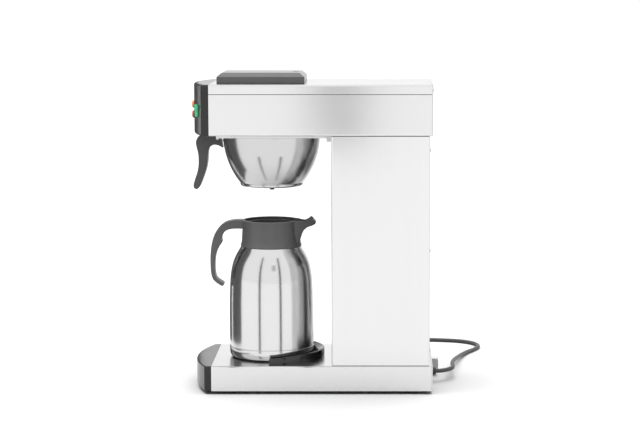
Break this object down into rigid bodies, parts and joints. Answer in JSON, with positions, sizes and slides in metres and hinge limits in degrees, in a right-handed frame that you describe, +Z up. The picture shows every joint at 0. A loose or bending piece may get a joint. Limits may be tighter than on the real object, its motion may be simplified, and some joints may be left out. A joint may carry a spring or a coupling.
{
  "type": "drip coffee maker",
  "caption": "Steel drip coffee maker with a brew basket on rails under its head and a vacuum jug standing on its base.",
  "frame": {"origin": "on the table, under the middle of the machine's own box without its free cord", "axes": "+Z up, -Y towards the front with the control panel, +X across the width, to the right as seen from the front"},
  "size_m": [0.4915, 0.4908, 0.519],
  "materials": {
    "stainless_panel": "fine brushed stainless sheet",
    "back_sheet": "plain stainless sheet",
    "front_moulding": "dark grey moulding, light gloss",
    "rubber": "black rubber",
    "screw_steel": "zinc plated",
    "black_gloss": "glossy black plastic",
    "bright_steel": "bright rolled steel",
    "lid_plastic": "dark grey textured plastic",
    "inner_plastic": "natural nylon",
    "tank_steel": "drawn stainless",
    "cast_heater": "cast aluminium",
    "clear_hose": "silicone tube",
    "black_plastic": "satin black plastic",
    "amber_lens": "clear tinted lens",
    "green_switch": "glossy green rocker",
    "red_button": "glossy dark red cap",
    "bowl_steel": "spun stainless, fine vertical brushing",
    "jug_steel": "brushed stainless",
    "jug_plastic": "dark grey satin plastic",
    "grey_plastic": "grey ribbed plastic",
    "cord_pvc": "black soft PVC",
    "plug_metal": "nickel plated brass"
  },
  "bodies": {
    "housing": {"base_shell": "stainless_panel", "base_bottom": "back_sheet", "base_back": "back_sheet", "base_front": "front_moulding", "feet": "rubber", "foot_screws": "screw_steel", "jug_guide": "black_gloss", "column_shell": "stainless_panel", "column_back": "back_sheet", "back_screws": "screw_steel", "head_shell": "stainless_panel", "head_back": "back_sheet", "head_cover": "stainless_panel", "cover_screws": "screw_steel", "control_panel": "front_moulding", "rail_left": "bright_steel", "rail_right": "bright_steel", "rail_screws": "screw_steel", "spray_head": "bright_steel", "fill_funnel": "inner_plastic", "water_tank": "tank_steel", "flow_heater": "cast_heater", "cold_hose": "clear_hose", "check_valve": "inner_plastic", "riser_tube": "clear_hose", "thermostat": "black_plastic", "thermal_fuse": "inner_plastic", "terminal_block": "inner_plastic", "rocker_housing": "black_plastic", "lamp_holder": "black_plastic", "amber_lens": "amber_lens", "button_housing": "black_plastic", "rear_spacer": "grey_plastic", "cord_gland": "black_plastic", "power_cord": "cord_pvc", "cord_coil": "cord_pvc", "cord_tail": "cord_pvc", "plug_body": "cord_pvc", "plug_pins": "plug_metal"},
    "basket": {"basket_bowl": "bowl_steel", "basket_flange": "bowl_steel", "basket_handle": "black_plastic", "basket_screws": "screw_steel", "basket_nozzle": "black_plastic", "filter_insert": "black_plastic"},
    "jug": {"jug_shell": "jug_steel", "jug_liner": "jug_steel", "jug_foot_ring": "rubber", "jug_collar": "jug_plastic", "jug_handle": "jug_plastic", "jug_seal": "rubber"},
    "stopper": {"jug_stopper": "black_plastic"},
    "lid": {"fill_lid": "lid_plastic"},
    "rocker": {"brew_rocker": "green_switch"},
    "button": {"warm_button": "red_button"}
  },
  "joints": [
    {"name": "basket_slide", "type": "slide", "parent": "housing", "child": "basket", "axis": [0, -1, 0], "range_m": [0, 0.2]},
    {"name": "jug_slide", "type": "slide", "parent": "housing", "child": "jug", "axis": [0, -1, 0], "range_m": [0, 0.25]},
    {"name": "stopper_lift", "type": "slide", "parent": "jug", "child": "stopper", "axis": [0, 0, 1], "range_m": [0, 0.035]},
    {"name": "lid_lift", "type": "slide", "parent": "housing", "child": "lid", "axis": [0, 0, 1], "range_m": [0, 0.06]},
    {"name": "rocker_tilt", "type": "hinge", "parent": "housing", "child": "rocker", "pos_m": [0.072, -0.18835, 0.4593], "axis": [0.9571, 0.2896, 0], "range_deg": [-14, 0]},
    {"name": "button_press", "type": "slide", "parent": "housing", "child": "button", "axis": [0, 1, 0], "range_m": [0, 0.002], "stiffness_N_per_m": 200}
  ]
}
